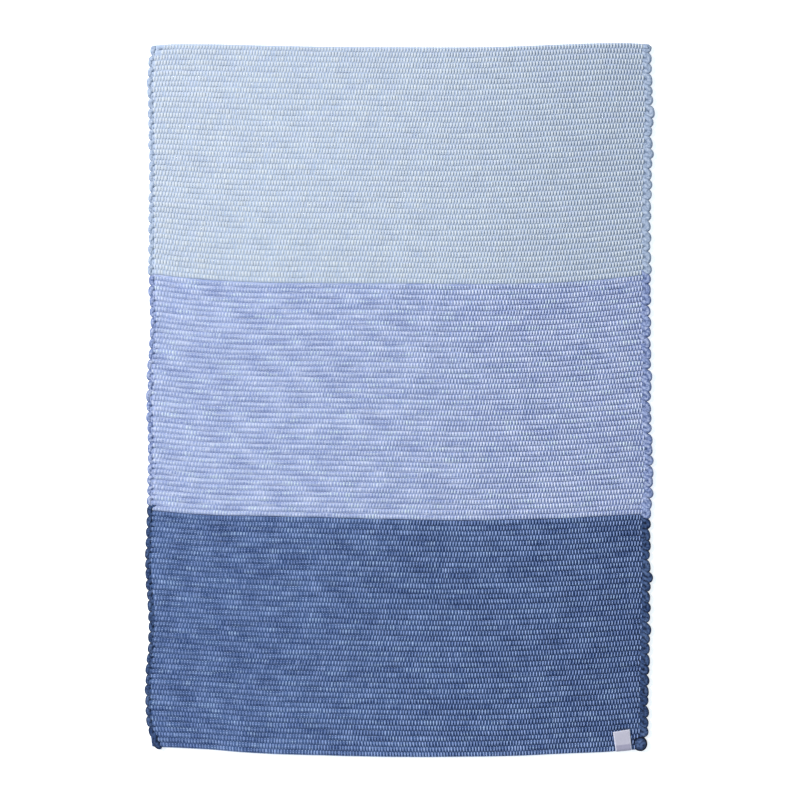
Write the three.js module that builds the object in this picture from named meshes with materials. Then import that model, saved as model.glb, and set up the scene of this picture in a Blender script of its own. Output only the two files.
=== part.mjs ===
// A handwoven cotton rug, laid flat: one thick plain-woven cloth in three bands of colour,
// with the weft turning in a loop at each side, and a blank tape label sewn over one end.
// Millimetres, +Z up, the floor at z = 0. X runs across the rug, Y along it, from the dark end
// to the pale end. The origin is on the floor under the middle of the rug's outline.
import * as THREE from "three";

// Thickness of the cloth, each height taken from the floor
const RIB_TOP = 7.0;
const RIB_VALLEY = 5.4;
const LOOP_TOP = 7.6;
const LOOP_VALLEY = 4.6; // in the notch between two side loops
const EDGE_HEIGHT = 3.2; // the outermost line of every edge
const UNDERCUT = 1.5; // the underside's outline lies this far inside that line

// The weave
const BANDS = [
  { from: "paleEnd", to: "paleToMid", rows: 44 },
  { from: "paleToMid", to: "midToDark", rows: 45 },
  { from: "midToDark", to: "darkEnd", rows: 45 },
];
const STEPS_PER_ROW = 2; // one up onto a rib and one down
const ROWS_PER_LOOP = 2;
const NOTCH_DEPTH = 3.2; // how far the outline steps in between two loops
const LOOP_UNEVENNESS = 0.9;
const HAND_WAVES = [
  { share: 0.6, turn: 2.4 },
  { share: 0.4, turn: -5.3 },
];
const LOOP_CREST_IN = 3.6; // from the outermost line to the top of a loop
const LOOP_ROOT_IN = 11.0; // from the reach of the loops to the groove beside the body
const SIDES = {
  left: { sign: -1, firstLoopRow: 0, grooveHeight: 4.9, paleCornerIn: 0.6, darkCornerIn: 5.0 },
  right: { sign: 1, firstLoopRow: -0.5, grooveHeight: 6.0, paleCornerIn: 4.0, darkCornerIn: 4.5 },
};

// Where the weft lies: the Y of the two ends and of the two changes of colour, across the rug
const WEFT_LINES = [
  { x: -352, paleEnd: 495.6, paleToMid: 175.5, midToDark: -154.5, darkEnd: -485.6 },
  { x: -335, paleEnd: 497.5, paleToMid: 174.8, midToDark: -155.6, darkEnd: -486.6 },
  { x: -322, paleEnd: 498.3, paleToMid: 172.9, midToDark: -156.8, darkEnd: -487.0 },
  { x: -280, paleEnd: 498.4, paleToMid: 168.7, midToDark: -160.3, darkEnd: -488.8 },
  { x: -195, paleEnd: 497.0, paleToMid: 164.5, midToDark: -163.1, darkEnd: -494.9 },
  { x: -110, paleEnd: 495.6, paleToMid: 164.0, midToDark: -164.9, darkEnd: -497.7 },
  { x: 0, paleEnd: 494.5, paleToMid: 162.7, midToDark: -167.3, darkEnd: -500.0 },
  { x: 85, paleEnd: 494.2, paleToMid: 161.7, midToDark: -168.7, darkEnd: -499.9 },
  { x: 170, paleEnd: 496.3, paleToMid: 162.7, midToDark: -167.3, darkEnd: -498.4 },
  { x: 225, paleEnd: 498.4, paleToMid: 164.5, midToDark: -165.9, darkEnd: -495.6 },
  { x: 292, paleEnd: 500.0, paleToMid: 169.5, midToDark: -162.4, darkEnd: -492.6 },
  { x: 330, paleEnd: 499.4, paleToMid: 173.7, midToDark: -160.6, darkEnd: -489.4 },
  { x: 352, paleEnd: 498.0, paleToMid: 177.0, midToDark: -161.3, darkEnd: -488.2 },
];

// How far out the side loops reach, down the rug
const SIDE_REACH = [
  { y: 500, left: 351.0, right: 351.5 },
  { y: 450, left: 354.0, right: 353.3 },
  { y: 405, left: 353.7, right: 355.0 },
  { y: 340, left: 352.3, right: 353.5 },
  { y: 250, left: 352.8, right: 351.6 },
  { y: 180, left: 353.2, right: 352.0 },
  { y: 90, left: 351.5, right: 352.1 },
  { y: 45, left: 354.9, right: 352.8 },
  { y: 0, left: 356.0, right: 351.2 },
  { y: -45, left: 354.2, right: 352.9 },
  { y: -110, left: 354.9, right: 354.8 },
  { y: -176, left: 356.5, right: 351.6 },
  { y: -240, left: 357.4, right: 352.0 },
  { y: -311, left: 353.8, right: 351.2 },
  { y: -400, left: 357.4, right: 349.8 },
  { y: -450, left: 356.6, right: 348.6 },
  { y: -500, left: 350.6, right: 347.6 },
];

// Loops that were left slack, or pulled in, and stand out from their neighbours
const ODD_LOOPS = [
  { side: "left", y: 447, out: 1.6 },
  { side: "left", y: 186, out: 1.4 },
  { side: "left", y: 148, out: 1.6 },
  { side: "left", y: 33, out: 1.6 },
  { side: "left", y: 19, out: -2.4 },
  { side: "right", y: 404, out: 2.2 },
  { side: "right", y: 344, out: 3.0 },
  { side: "right", y: 40, out: 2.0 },
  { side: "right", y: -120, out: 1.4 },
  { side: "right", y: -240, out: 3.6 },
  { side: "right", y: -317, out: 1.6 },
];

// Ends of yarn that push out of the dark end, near its corners
const YARN_ENDS = [
  { x: -335, halfWidth: 9, out: 4.4 },
  { x: 338, halfWidth: 8, out: 4.0 },
];

// The label: a strip of tape near the right corner that turns down over the dark end
const LABEL_X = 312;
const LABEL_WIDTH = 23;
const LABEL_REACH = 26.5; // from the rug's end to the label's inner end
const LABEL_THICKNESS = 1.0;
const LABEL_CLEARANCE = 0.3;
const LABEL_TURN_START = 3.9; // from the rug's end to where the label begins to turn down
const LABEL_TUCK_IN = 0.4; // how far its low end leans back under the turn
const LABEL_LOW_END = 1.0; // floor to its low end

// The part of the underside that stays one plain rectangle
const PANEL_HALF_WIDTH = 300;
const PANEL_HALF_LENGTH = 440;

const WEFT_COLOUR = 0x8fa2cf;
const LABEL_COLOUR = 0xbfc0d2;

const TOTAL_ROWS = BANDS.reduce((sum, band) => sum + band.rows, 0);
const LAST_STEP = TOTAL_ROWS * STEPS_PER_ROW;
const OUTER_X = WEFT_LINES[WEFT_LINES.length - 1].x;

// A column of a table at a place between two of its rows, on a straight line.
function readTable(table, key, place, column) {
  const direction = Math.sign(table[1][key] - table[0][key]);
  const next = table.findIndex((row) => (row[key] - place) * direction > 0);
  const high = THREE.MathUtils.clamp(next < 0 ? table.length : next, 1, table.length - 1);
  const a = table[high - 1];
  const b = table[high];
  const share = THREE.MathUtils.clamp((place - a[key]) / (b[key] - a[key]), 0, 1);
  return THREE.MathUtils.lerp(a[column], b[column], share);
}

// The Y of a point of the weave, at x across the rug and a number of rows from the pale end.
function weaveY(x, row) {
  let band = 0;
  let start = 0;
  while (band < BANDS.length - 1 && row > start + BANDS[band].rows) {
    start += BANDS[band].rows;
    band += 1;
  }
  const from = readTable(WEFT_LINES, "x", x, BANDS[band].from);
  const to = readTable(WEFT_LINES, "x", x, BANDS[band].to);
  return THREE.MathUtils.lerp(from, to, (row - start) / BANDS[band].rows);
}

// How much one loop was pulled out or in, by an uneven hand or on its own.
function loopPull(side, loop, middleY) {
  const { sign } = SIDES[side];
  const waves = HAND_WAVES.map(({ share, turn }) => share * Math.sin(turn * loop + sign));
  const uneven = waves.reduce((sum, wave) => sum + wave, 0);
  const halfLoop = (weaveY(0, 0) - weaveY(0, ROWS_PER_LOOP)) / 2;
  const sameSide = ODD_LOOPS.filter((entry) => entry.side === side);
  const odd = sameSide.find((entry) => Math.abs(entry.y - middleY) < halfLoop);
  return LOOP_UNEVENNESS * uneven + (odd ? odd.out : 0);
}

// Three points of a side's loops at a step down the rug, from the outermost line inwards.
// A loop's outline and its height both follow a half circle from one notch to the next.
function loopPoints(side, step) {
  const { sign, firstLoopRow, grooveHeight, paleCornerIn, darkCornerIn } = SIDES[side];
  const row = step / STEPS_PER_ROW;
  const turns = (row - firstLoopRow) / ROWS_PER_LOOP;
  const loop = Math.floor(turns);
  const fromMiddle = 2 * (turns - loop) - 1;
  const round = Math.sqrt(1 - fromMiddle * fromMiddle);
  const middleY = weaveY(sign * OUTER_X, firstLoopRow + ROWS_PER_LOOP * (loop + 0.5));
  const fullReach = readTable(SIDE_REACH, "y", weaveY(sign * OUTER_X, row), side);
  let edge = fullReach - NOTCH_DEPTH * (1 - round) + loopPull(side, loop, middleY) * round;
  if (step === 0) edge = fullReach - paleCornerIn;
  if (step === LAST_STEP) edge = fullReach - darkCornerIn;
  return [
    { x: sign * edge, z: EDGE_HEIGHT },
    { x: sign * (edge - LOOP_CREST_IN), z: THREE.MathUtils.lerp(LOOP_VALLEY, LOOP_TOP, round) },
    { x: sign * (fullReach - LOOP_ROOT_IN), z: grooveHeight },
  ];
}

// How far an end of yarn pushes the dark end out at x.
function yarnEndPush(x) {
  const pushes = YARN_ENDS.map((end) => end.out * (1 - Math.abs(x - end.x) / end.halfWidth));
  return Math.max(0, ...pushes);
}

// One line of points across the upper face, from the left edge to the right edge.
function lineAcross(step) {
  const bodyHeight = step % STEPS_PER_ROW === 0 ? RIB_VALLEY : RIB_TOP;
  const body = WEFT_LINES.slice(1, -1).map(({ x }) => ({ x, z: bodyHeight }));
  const points = [...loopPoints("left", step), ...body, ...loopPoints("right", step).reverse()];
  const atEnd = step === 0 || step === LAST_STEP;
  return points.map(({ x, z }) => {
    const push = step === LAST_STEP ? yarnEndPush(x) : 0;
    return new THREE.Vector3(x, weaveY(x, step / STEPS_PER_ROW) - push, atEnd ? EDGE_HEIGHT : z);
  });
}

// The grid's rim, clockwise from above, as places in the list of the upper face's points.
function rimOf(lines, width) {
  const last = lines - 1;
  const along = Array.from({ length: width }, (_, column) => column);
  const down = Array.from({ length: lines - 2 }, (_, line) => (line + 1) * width);
  return [
    ...along,
    ...down.map((start) => start + width - 1),
    ...along.map((column) => last * width + width - 1 - column),
    ...down.reverse(),
  ];
}

// The cloth: a ribbed upper face, a rounded rim that slopes in underneath, and a flat underside.
function rugGeometry() {
  const grid = Array.from({ length: LAST_STEP + 1 }, (_, step) => lineAcross(step));
  const width = grid[0].length;
  const points = grid.flat();
  const faces = [];
  for (let line = 0; line < LAST_STEP; line += 1) {
    for (let column = 0; column < width - 1; column += 1) {
      const a = line * width + column;
      faces.push([a, a + width, a + width + 1], [a, a + width + 1, a + 1]);
    }
  }
  const rim = rimOf(grid.length, width);
  const foot = rim.map((place, k) => footPoint(points[place], k, rim.length, width));
  const firstFoot = points.length;
  points.push(...foot);
  rim.forEach((upper, k) => {
    const next = (k + 1) % rim.length;
    faces.push([upper, rim[next], firstFoot + k]);
    faces.push([rim[next], firstFoot + next, firstFoot + k]);
  });
  // The underside keeps one large rectangle whole, and joins its corners to the outline.
  const panel = [[-1, 1], [1, 1], [1, -1], [-1, -1]].map(
    ([x, y]) => new THREE.Vector3(x * PANEL_HALF_WIDTH, y * PANEL_HALF_LENGTH, 0),
  );
  const firstPanel = points.length;
  points.push(...panel);
  const flat = (list) => list.map(({ x, y }) => new THREE.Vector2(x, y));
  const under = THREE.ShapeUtils.triangulateShape(flat(foot), [flat(panel)]);
  const [p, q, r, s] = panel.map((_, k) => firstPanel - firstFoot + k);
  for (const triangle of [...under, [p, q, r], [p, r, s]]) {
    const [a, b, c] = triangle.map((k) => points[firstFoot + k]);
    const clockwise = (b.x - a.x) * (c.y - a.y) - (b.y - a.y) * (c.x - a.x) < 0;
    const facingDown = clockwise ? triangle : triangle.slice().reverse();
    faces.push(facingDown.map((k) => firstFoot + k));
  }
  return closedGeometry(points, faces);
}

// The point on the floor under a rim point, drawn in from the side or the end that it lies on.
function footPoint(point, k, rimLength, width) {
  const onPaleEnd = k < width;
  const onDarkEnd = k >= rimLength / 2 && k < rimLength / 2 + width;
  const corner = [0, width - 1, rimLength / 2, rimLength / 2 + width - 1].includes(k);
  const acrossIn = corner || !(onPaleEnd || onDarkEnd) ? -Math.sign(point.x) * UNDERCUT : 0;
  let alongIn = 0;
  if (onPaleEnd) alongIn = -UNDERCUT;
  if (onDarkEnd) alongIn = UNDERCUT;
  return new THREE.Vector3(point.x + acrossIn, point.y + alongIn, 0);
}

// A geometry from points and triangles that share them.
function closedGeometry(points, faces) {
  const geometry = new THREE.BufferGeometry().setFromPoints(points);
  geometry.setIndex(faces.flat());
  geometry.computeVertexNormals();
  return geometry;
}

// The label: a thin strip, flat on the ribs and then turned down round the end of the cloth
// on a quarter of an ellipse. Its section has the distance in from the rug's end along x and
// the height along y.
function labelGeometry() {
  const under = RIB_TOP + LABEL_CLEARANCE;
  const over = under + LABEL_THICKNESS;
  const inside = -LABEL_CLEARANCE;
  const outside = inside - LABEL_THICKNESS;
  const turn = { x: LABEL_TURN_START, y: EDGE_HEIGHT };
  const outer = { x: turn.x - outside, y: over - turn.y };
  const inner = { x: turn.x - inside, y: under - turn.y };
  const section = new THREE.Shape();
  section.moveTo(LABEL_REACH, under);
  section.lineTo(LABEL_REACH, over);
  section.absellipse(turn.x, turn.y, outer.x, outer.y, Math.PI / 2, Math.PI, false);
  section.lineTo(outside + LABEL_TUCK_IN, LABEL_LOW_END);
  section.lineTo(inside + LABEL_TUCK_IN, LABEL_LOW_END);
  section.absellipse(turn.x, turn.y, inner.x, inner.y, Math.PI, Math.PI / 2, true);
  section.closePath();
  const settings = { depth: LABEL_WIDTH, bevelEnabled: false, curveSegments: 8 };
  const geometry = new THREE.ExtrudeGeometry(section, settings);
  geometry.translate(0, 0, -LABEL_WIDTH / 2);
  const along = new THREE.Vector3(0, 1, 0);
  const up = new THREE.Vector3(0, 0, 1);
  const across = new THREE.Vector3(1, 0, 0);
  return geometry.applyMatrix4(new THREE.Matrix4().makeBasis(along, up, across));
}

const cotton = { roughness: 0.95, metalness: 0 };
const rug = new THREE.Mesh(
  rugGeometry(),
  new THREE.MeshStandardMaterial({ color: WEFT_COLOUR, ...cotton }),
);
rug.name = "rug_cloth";

const label = new THREE.Mesh(
  labelGeometry(),
  new THREE.MeshStandardMaterial({ color: LABEL_COLOUR, ...cotton }),
);
label.name = "label";
const labelLeftY = weaveY(LABEL_X - LABEL_WIDTH / 2, TOTAL_ROWS);
const labelRightY = weaveY(LABEL_X + LABEL_WIDTH / 2, TOTAL_ROWS);
label.position.set(LABEL_X, (labelLeftY + labelRightY) / 2, 0);
label.rotation.z = Math.atan2(labelRightY - labelLeftY, LABEL_WIDTH);

const handwovenRug = new THREE.Group();
handwovenRug.add(rug, label);
const middle = new THREE.Box3().setFromObject(rug).getCenter(new THREE.Vector3());
handwovenRug.children.forEach((piece) => {
  piece.position.x -= middle.x;
  piece.position.y -= middle.y;
});

export default handwovenRug;
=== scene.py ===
"""A handwoven cotton rug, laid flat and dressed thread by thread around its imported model.

Metres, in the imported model's frame: X runs across the rug, Y along it towards the pale end and
Z up from the floor. A place in the cloth is also given in the weave's own terms: how many weft
rows it lies below the pale end, and how many warp ends it lies from the left edge.
"""

import logging
import math
from dataclasses import dataclass, field
from enum import Enum

import bpy
import numpy as np
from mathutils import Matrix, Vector


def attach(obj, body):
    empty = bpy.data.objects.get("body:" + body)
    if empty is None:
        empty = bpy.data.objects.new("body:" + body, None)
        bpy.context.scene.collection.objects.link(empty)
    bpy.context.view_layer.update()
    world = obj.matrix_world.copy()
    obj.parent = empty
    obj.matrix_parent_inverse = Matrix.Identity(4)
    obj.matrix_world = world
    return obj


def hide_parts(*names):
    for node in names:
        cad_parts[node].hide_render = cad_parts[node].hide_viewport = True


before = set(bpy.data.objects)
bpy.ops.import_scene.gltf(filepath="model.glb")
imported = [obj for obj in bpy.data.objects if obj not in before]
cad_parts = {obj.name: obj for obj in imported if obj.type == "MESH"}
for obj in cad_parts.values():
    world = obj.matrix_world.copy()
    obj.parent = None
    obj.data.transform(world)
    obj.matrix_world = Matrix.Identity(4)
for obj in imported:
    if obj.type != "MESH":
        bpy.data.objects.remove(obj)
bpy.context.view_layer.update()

MM = 0.001
ROOT = "root"
RUG_NODE = "rug_cloth"
LABEL_NODE = "label"
WEAVE = "weave"
# How much brighter the studio's light shows a surface than its own colour
STUDIO_GAIN = 1.12
# The share of a weft row's half sine wave above which its rib is flat, and how round it is below
RIB_FLAT = 0.77
RIB_ROUND = 0.7
# The least height of a yarn's surface above the floor
FLOOR_GAP = 0.1 * MM
# How far each weft row lies from the last in the noise that shades it
ROW_SHIFT = 3.7
log = logging.getLogger("cotton_rug")


class Side(Enum):
    """The two long edges. The value is the sign of X there."""

    LEFT = -1
    RIGHT = 1


@dataclass(frozen=True)
class BySide:
    """A size that differs between the rug's left and right side."""

    left: float
    right: float

    def __getitem__(self, side: Side) -> float:
        """The size at one side."""
        return self.left if side is Side.LEFT else self.right


class Band(Enum):
    """The three bands of weft colour: the first row, the number of rows and the record's slot."""

    PALE = (0, 44, "weft_pale")
    MID = (44, 45, "weft_mid")
    DARK = (89, 45, "weft_dark")

    @property
    def first(self) -> int:
        """The band's first weft row."""
        return self.value[0]

    @property
    def rows(self) -> int:
        """How many weft rows the band has."""
        return self.value[1]

    @property
    def slot(self) -> str:
        """The record's material slot of the band's yarn."""
        return self.value[2]

    @property
    def word(self) -> str:
        """The band's name inside the names of its pieces."""
        return self.name.lower()


ROWS = 134
ENDS = 321
BAND_STARTS = np.array([*(band.first for band in Band), ROWS])
# The outermost warp end of each side
EDGE_END = BySide(0, ENDS - 1)

# Where the weft lies: X across the rug, then the Y of the pale end, of the change to the middle
# blue, of the change to the dark blue, and of the dark end, all in millimetres
WEFT_LINES = np.array(
    [
        (-352, 495.6, 175.5, -154.5, -485.6),
        (-335, 497.5, 174.8, -155.6, -486.6),
        (-322, 498.3, 172.9, -156.8, -487.0),
        (-280, 498.4, 168.7, -160.3, -488.8),
        (-195, 497.0, 164.5, -163.1, -494.9),
        (-110, 495.6, 164.0, -164.9, -497.7),
        (0, 494.5, 162.7, -167.3, -500.0),
        (85, 494.2, 161.7, -168.7, -499.9),
        (170, 496.3, 162.7, -167.3, -498.4),
        (225, 498.4, 164.5, -165.9, -495.6),
        (292, 500.0, 169.5, -162.4, -492.6),
        (330, 499.4, 173.7, -160.6, -489.4),
        (352, 498.0, 177.0, -161.3, -488.2),
    ]
)

# How far out the side loops reach: Y up the rug, then the left and the right reach
SIDE_REACH = np.array(
    [
        (-500, 350.6, 347.6),
        (-450, 356.6, 348.0),
        (-400, 357.3, 349.0),
        (-311, 352.6, 350.7),
        (-240, 357.4, 351.4),
        (-176, 355.9, 351.0),
        (-110, 354.1, 354.9),
        (-45, 354.2, 352.9),
        (0, 356.0, 351.2),
        (45, 354.3, 352.0),
        (90, 350.8, 351.2),
        (180, 353.2, 352.0),
        (250, 352.8, 351.6),
        (340, 352.3, 353.5),
        (405, 353.7, 355.0),
        (450, 354.0, 353.3),
        (500, 351.0, 351.5),
    ]
)

# Loops that stand out from their neighbours: side, Y, and how far out, in millimetres
ODD_LOOPS = (
    (Side.LEFT, 490, -1.6),
    (Side.LEFT, 447, 1.6),
    (Side.LEFT, 186, 1.4),
    (Side.LEFT, 166, -2.4),
    (Side.LEFT, 148, 1.6),
    (Side.LEFT, 33, 1.6),
    (Side.LEFT, 19, -2.4),
    (Side.LEFT, -449, -1.5),
    (Side.LEFT, -464, -3.6),
    (Side.LEFT, -479, -8.0),
    (Side.RIGHT, 404, 2.2),
    (Side.RIGHT, 375, -2.6),
    (Side.RIGHT, 344, 3.0),
    (Side.RIGHT, 215, -2.2),
    (Side.RIGHT, 40, 2.0),
    (Side.RIGHT, -120, 1.4),
    (Side.RIGHT, -210, -1.6),
    (Side.RIGHT, -240, 3.6),
    (Side.RIGHT, -275, -1.6),
    (Side.RIGHT, -317, 1.6),
)


def on_curve(at: np.ndarray, places: np.ndarray, values: np.ndarray) -> np.ndarray:
    """A smooth curve through a few known points.

    Between two known places the value is a cubic: it starts and ends at their values, with the
    slope there that the neighbouring points give.

    Args:
        at: where the curve is read.
        places: the known places, rising.
        values: the known values.

    Returns:
        The value at each place.
    """
    slopes = np.gradient(values, places)
    k = np.clip(np.searchsorted(places, at) - 1, 0, len(places) - 2)
    width = places[k + 1] - places[k]
    t = np.clip((at - places[k]) / width, 0.0, 1.0)
    start = (2 * t**3 - 3 * t**2 + 1) * values[k] + (t**3 - 2 * t**2 + t) * width * slopes[k]
    end = (3 * t**2 - 2 * t**3) * values[k + 1] + (t**3 - t**2) * width * slopes[k + 1]
    return start + end


def smooth_step(value: np.ndarray, low: float, high: float) -> np.ndarray:
    """A value carried smoothly from 0 at low to 1 at high."""
    t = np.clip((np.asarray(value) - low) / (high - low), 0.0, 1.0)
    return t * t * (3 - 2 * t)


def band_number(row: np.ndarray) -> np.ndarray:
    """The number of the band, from 0 to 2, in which a row coordinate lies."""
    return np.clip(np.searchsorted(BAND_STARTS, row, side="right") - 1, 0, 2)


def rib(row: np.ndarray) -> np.ndarray:
    """A weft row's rounded rib, from 0 in the valleys to 1: half a sine wave, cut off flat."""
    return np.clip(np.abs(np.sin(np.pi * row)) / RIB_FLAT, 0.0, 1.0) ** RIB_ROUND


def section_turn(points: int) -> tuple[np.ndarray, np.ndarray]:
    """The turn about a yarn of each point of its section, and how high it lies there, 0 to 1."""
    turn = np.arange(points) * 2 * np.pi / points
    return turn, 1 - np.abs((turn / np.pi + 0.5) % 2 - 1)


def carry_section(middle: np.ndarray, across: np.ndarray, above: np.ndarray) -> np.ndarray:
    """Carries a section along paths: each point lies beside and above or below its path's point.

    Args:
        middle: the paths' points, as rings by 3, or strands by rings by 3.
        across: metres sideways, as rings by the section's points, with the same strands first.
        above: metres upward, in the same order.

    Returns:
        The points, none of them below the floor.
    """
    ahead = np.gradient(middle, axis=-2)
    ahead /= np.linalg.norm(ahead, axis=-1, keepdims=True)
    aside = np.cross([0.0, 0.0, 1.0], ahead)
    aside /= np.linalg.norm(aside, axis=-1, keepdims=True)
    points = middle[..., None, :] + aside[..., None, :] * across[..., None]
    points[..., 2] = np.maximum(points[..., 2] + above, FLOOR_GAP)
    return points


def polygon_mesh(name: str, points: np.ndarray, polygons: list[np.ndarray]) -> bpy.types.Mesh:
    """A smooth-shaded mesh from points and several arrays of polygons.

    Args:
        name: the mesh's name.
        points: an array of n by 3, in metres.
        polygons: arrays of point numbers, a polygon in each row, with rows of one length.

    Returns:
        The mesh.
    """
    mesh = bpy.data.meshes.new(name)
    loops = np.concatenate([group.ravel() for group in polygons]).astype(np.int32)
    sizes = np.concatenate([np.full(len(group), group.shape[1]) for group in polygons])
    mesh.vertices.add(len(points))
    mesh.vertices.foreach_set("co", points.astype(np.float32).ravel())
    mesh.loops.add(len(loops))
    mesh.loops.foreach_set("vertex_index", loops)
    mesh.polygons.add(len(sizes))
    mesh.polygons.foreach_set("loop_start", (np.cumsum(sizes) - sizes).astype(np.int32))
    mesh.update(calc_edges=True)
    mesh.shade_smooth()
    return mesh


def weave_attribute(mesh: bpy.types.Mesh, values: np.ndarray) -> None:
    """Stores each point's place in the yarn, which the finishes read.

    Args:
        mesh: the piece's mesh.
        values: n by 3: metres along the yarn, the row or the turn about the yarn, and the warp
            end or a number drawn for each strand.
    """
    attribute = mesh.attributes.new(WEAVE, "FLOAT_VECTOR", "POINT")
    attribute.data.foreach_set("vector", values.astype(np.float32).ravel())


def place_piece(
    mesh: bpy.types.Mesh, finishes: list[bpy.types.Material]
) -> bpy.types.Object:
    """Puts a finished mesh into the scene, riding on the rug's one body.

    Args:
        mesh: the piece's mesh, already in place.
        finishes: its materials, in the order of its polygons' material numbers.

    Returns:
        The piece.
    """
    piece = bpy.data.objects.new(mesh.name, mesh)
    bpy.context.scene.collection.objects.link(piece)
    for finish in finishes:
        mesh.materials.append(finish)
    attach(piece, ROOT)
    triangles = len(mesh.loops) - 2 * len(mesh.polygons)
    log.info("%s: %d points, %d triangles", piece.name, len(mesh.vertices), triangles)
    return piece


def grid_faces(lines: int, width: int, first: int = 0) -> np.ndarray:
    """The four-sided faces of a grid whose points are numbered line by line.

    Args:
        lines: how many lines of points.
        width: how many points in a line.
        first: the number of the first point.

    Returns:
        An array of faces by 4, each going from a line to the next one and back.
    """
    corner = first + (np.arange(lines - 1)[:, None] * width + np.arange(width - 1)).ravel()
    return np.stack([corner, corner + width, corner + width + 1, corner + 1], axis=1)


def strand_faces(strands: int, rings: int, section: int) -> list[np.ndarray]:
    """The faces of many like strands, each a tube of rings that is closed by two flat ends.

    A strand's rings follow one another towards a viewer who sees their points run
    anticlockwise.

    Args:
        strands: how many strands.
        rings: how many rings in a strand.
        section: how many points in a ring.

    Returns:
        The four-sided faces along the strands, then the first and the last ring of each.
    """
    ring = np.arange(rings - 1)[:, None] * section
    here = np.arange(section)
    there = (here + 1) % section
    start = (ring + here).ravel()
    end = (ring + there).ravel()
    side = np.stack([start, end, end + section, start + section], axis=1)
    offset = np.arange(strands) * rings * section
    sides = (offset[:, None, None] + side).reshape(-1, 4)
    first = offset[:, None] + here[::-1]
    last = offset[:, None] + (rings - 1) * section + here
    return [sides, first, last]


class Shader:
    """A material's node tree, with short calls to add nodes and join them."""

    def __init__(self, name: str) -> None:
        """Starts a material that holds one Principled shader."""
        self.material = bpy.data.materials.new(name)
        self.material.use_nodes = True
        self.tree = self.material.node_tree
        self.tree.nodes.clear()
        self.surface = self.tree.nodes.new("ShaderNodeBsdfPrincipled")
        output = self.tree.nodes.new("ShaderNodeOutputMaterial")
        self.tree.links.new(self.surface.outputs["BSDF"], output.inputs["Surface"])

    def feed(self, socket: bpy.types.NodeSocket, value: object) -> None:
        """Joins a node's output to a socket, or sets the socket's own value."""
        if isinstance(value, bpy.types.NodeSocket):
            self.tree.links.new(value, socket)
        else:
            socket.default_value = value

    def set(self, name: str, value: object) -> None:
        """Feeds one of the Principled shader's sockets."""
        self.feed(self.surface.inputs[name], value)

    def math(self, operation: str, a: object, b: object = 0.0) -> bpy.types.NodeSocket:
        """One step of arithmetic on numbers."""
        node = self.tree.nodes.new("ShaderNodeMath")
        node.operation = operation
        self.feed(node.inputs[0], a)
        self.feed(node.inputs[1], b)
        return node.outputs[0]

    def times(self, a: object, b: object) -> bpy.types.NodeSocket:
        """Two numbers multiplied."""
        return self.math("MULTIPLY", a, b)

    def plus(self, a: object, b: object) -> bpy.types.NodeSocket:
        """Two numbers added."""
        return self.math("ADD", a, b)

    def paced(self, parts: tuple, paces: tuple) -> list[bpy.types.NodeSocket]:
        """The numbers of a place, each carried on at its own pace."""
        return [self.times(part, pace) for part, pace in zip(parts, paces)]

    def row_shift(self, row: bpy.types.NodeSocket) -> bpy.types.NodeSocket:
        """Where a row lies in the noise, so that each row draws its own."""
        return self.times(self.math("FLOOR", row), ROW_SHIFT)

    def weave(self) -> list[bpy.types.NodeSocket]:
        """The three numbers of the place in the yarn."""
        source = self.tree.nodes.new("ShaderNodeAttribute")
        source.attribute_name = WEAVE
        parts = self.tree.nodes.new("ShaderNodeSeparateXYZ")
        self.feed(parts.inputs[0], source.outputs["Vector"])
        return list(parts.outputs)

    def place(self) -> list[bpy.types.NodeSocket]:
        """X and Y of the place in the rug, in metres."""
        source = self.tree.nodes.new("ShaderNodeTexCoord")
        parts = self.tree.nodes.new("ShaderNodeSeparateXYZ")
        self.feed(parts.inputs[0], source.outputs["Object"])
        return list(parts.outputs)[:2]

    def row_shade(self) -> bpy.types.NodeSocket:
        """How dark the yarn is spun: a number from 0 to 1 that changes slowly along a row.

        Every row draws its own run of shades, because the row's number moves the noise.
        """
        along, row, _ = self.weave()
        at = self.vector(self.times(along, 18.0), 0.0, self.row_shift(row))
        return self.stretch(self.noise(at), 0.32, 0.68)

    def down(self) -> bpy.types.NodeSocket:
        """Spots of loose down a millimetre or two wide, from 0 to 1, thicker towards the left."""
        x, y = self.place()
        spots = self.stretch(self.noise(self.vector(x, y), 430.0), 0.48, 0.62)
        return self.times(spots, self.stretch(x, 0.5, -0.3))

    def vector(self, x: object, y: object, z: object = 0.0) -> bpy.types.NodeSocket:
        """Three numbers as one vector."""
        node = self.tree.nodes.new("ShaderNodeCombineXYZ")
        for socket, value in zip(node.inputs, (x, y, z)):
            self.feed(socket, value)
        return node.outputs[0]

    def noise(self, at: object, scale: float = 1.0, detail: float = 2.0) -> bpy.types.NodeSocket:
        """Soft noise from 0 to 1 at a place."""
        node = self.tree.nodes.new("ShaderNodeTexNoise")
        self.feed(node.inputs["Vector"], at)
        self.feed(node.inputs["Scale"], scale)
        self.feed(node.inputs["Detail"], detail)
        return node.outputs["Fac"]

    def stretch(self, value: object, low: float, high: float) -> bpy.types.NodeSocket:
        """A value carried smoothly from 0 at low to 1 at high."""
        node = self.tree.nodes.new("ShaderNodeMapRange")
        node.interpolation_type = "SMOOTHSTEP"
        self.feed(node.inputs["Value"], value)
        self.feed(node.inputs["From Min"], low)
        self.feed(node.inputs["From Max"], high)
        return node.outputs["Result"]

    def mix(self, share: object, a: object, b: object) -> bpy.types.NodeSocket:
        """Two colours mixed by a share."""
        node = self.tree.nodes.new("ShaderNodeMix")
        node.data_type = "RGBA"
        self.feed(node.inputs["Factor"], share)
        self.feed(node.inputs[6], a)
        self.feed(node.inputs[7], b)
        return node.outputs[2]

    def bump(self, height: object, depth: float) -> None:
        """Raises the surface by a height from 0 to 1, depth metres in all."""
        node = self.tree.nodes.new("ShaderNodeBump")
        self.feed(node.inputs["Height"], height)
        self.feed(node.inputs["Distance"], depth)
        self.set("Normal", node.outputs["Normal"])


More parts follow.
